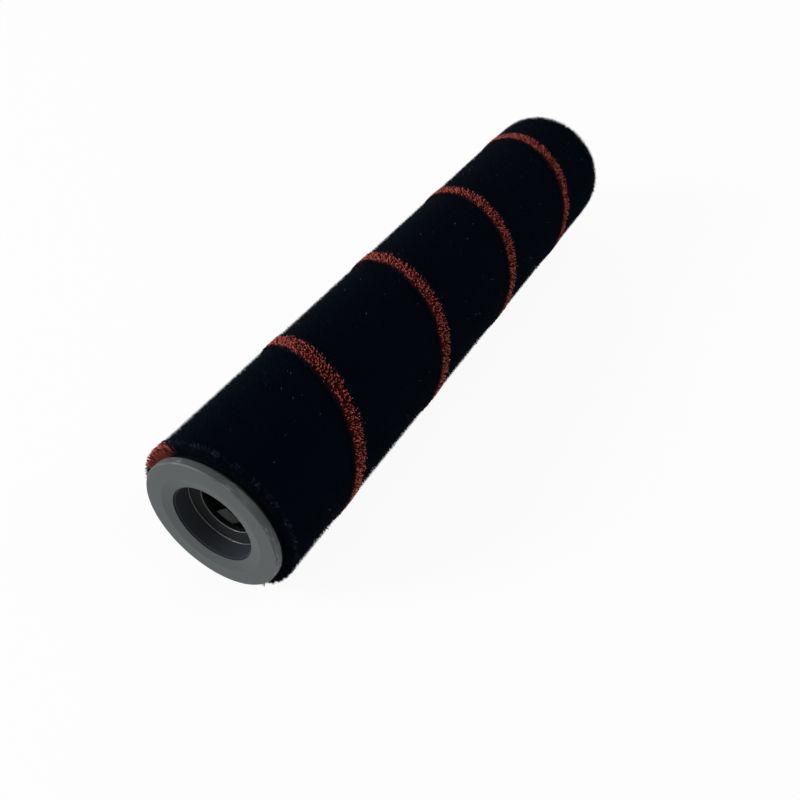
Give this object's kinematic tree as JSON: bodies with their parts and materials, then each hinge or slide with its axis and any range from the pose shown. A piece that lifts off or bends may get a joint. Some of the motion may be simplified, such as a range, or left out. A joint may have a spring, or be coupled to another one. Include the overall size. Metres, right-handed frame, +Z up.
{
  "type": "vacuum roller brush",
  "caption": "Soft roller brush of a vacuum head: black plush sleeve with a red helical stripe, grey flanged end caps, a drive socket at one end and a stub axle on a bearing at the other.",
  "frame": {"origin": "on the surface it lies on, under the middle of its overall length", "axes": "+X along the roller's axis from the drive socket to the stub axle, +Z up"},
  "size_m": [0.231, 0.048, 0.0476],
  "materials": {
    "black_plush": "dense cut pile",
    "red_plush": "dense cut pile",
    "backing": "woven",
    "grey_plastic": "fine moulded",
    "dark_plastic": "moulded",
    "tube_plastic": "extruded",
    "steel": "ground",
    "spring_steel": "oiled black"
  },
  "bodies": {
    "roller": {"core_tube": "tube_plastic", "pile_backing": "backing", "black_pile": "black_plush", "red_pile": "red_plush", "drive_end_cap": "grey_plastic", "drive_socket": "dark_plastic", "rib_ring": "grey_plastic", "idle_end_cap": "grey_plastic", "bearing_outer_race": "steel", "bearing_shields": "steel", "bearing_circlip": "spring_steel"},
    "axle": {"stub_axle": "steel", "bearing_inner_race": "steel", "axle_washer": "steel", "axle_clip": "spring_steel"},
    "ball_train": {"bearing_balls": "steel", "bearing_cage": "steel"}
  },
  "joints": [
    {"name": "axle_spin", "type": "hinge", "parent": "roller", "child": "axle", "pos_m": [0.1035, 0, 0.02365], "axis": [1, 0, 0], "continuous": true},
    {"name": "ball_train_spin", "type": "hinge", "parent": "roller", "child": "ball_train", "pos_m": [0.1035, 0, 0.02365], "axis": [1, 0, 0], "continuous": true}
  ],
  "couplings": [
    {"joint": "ball_train_spin", "follows": "axle_spin", "ratio": 0.36111}
  ]
}
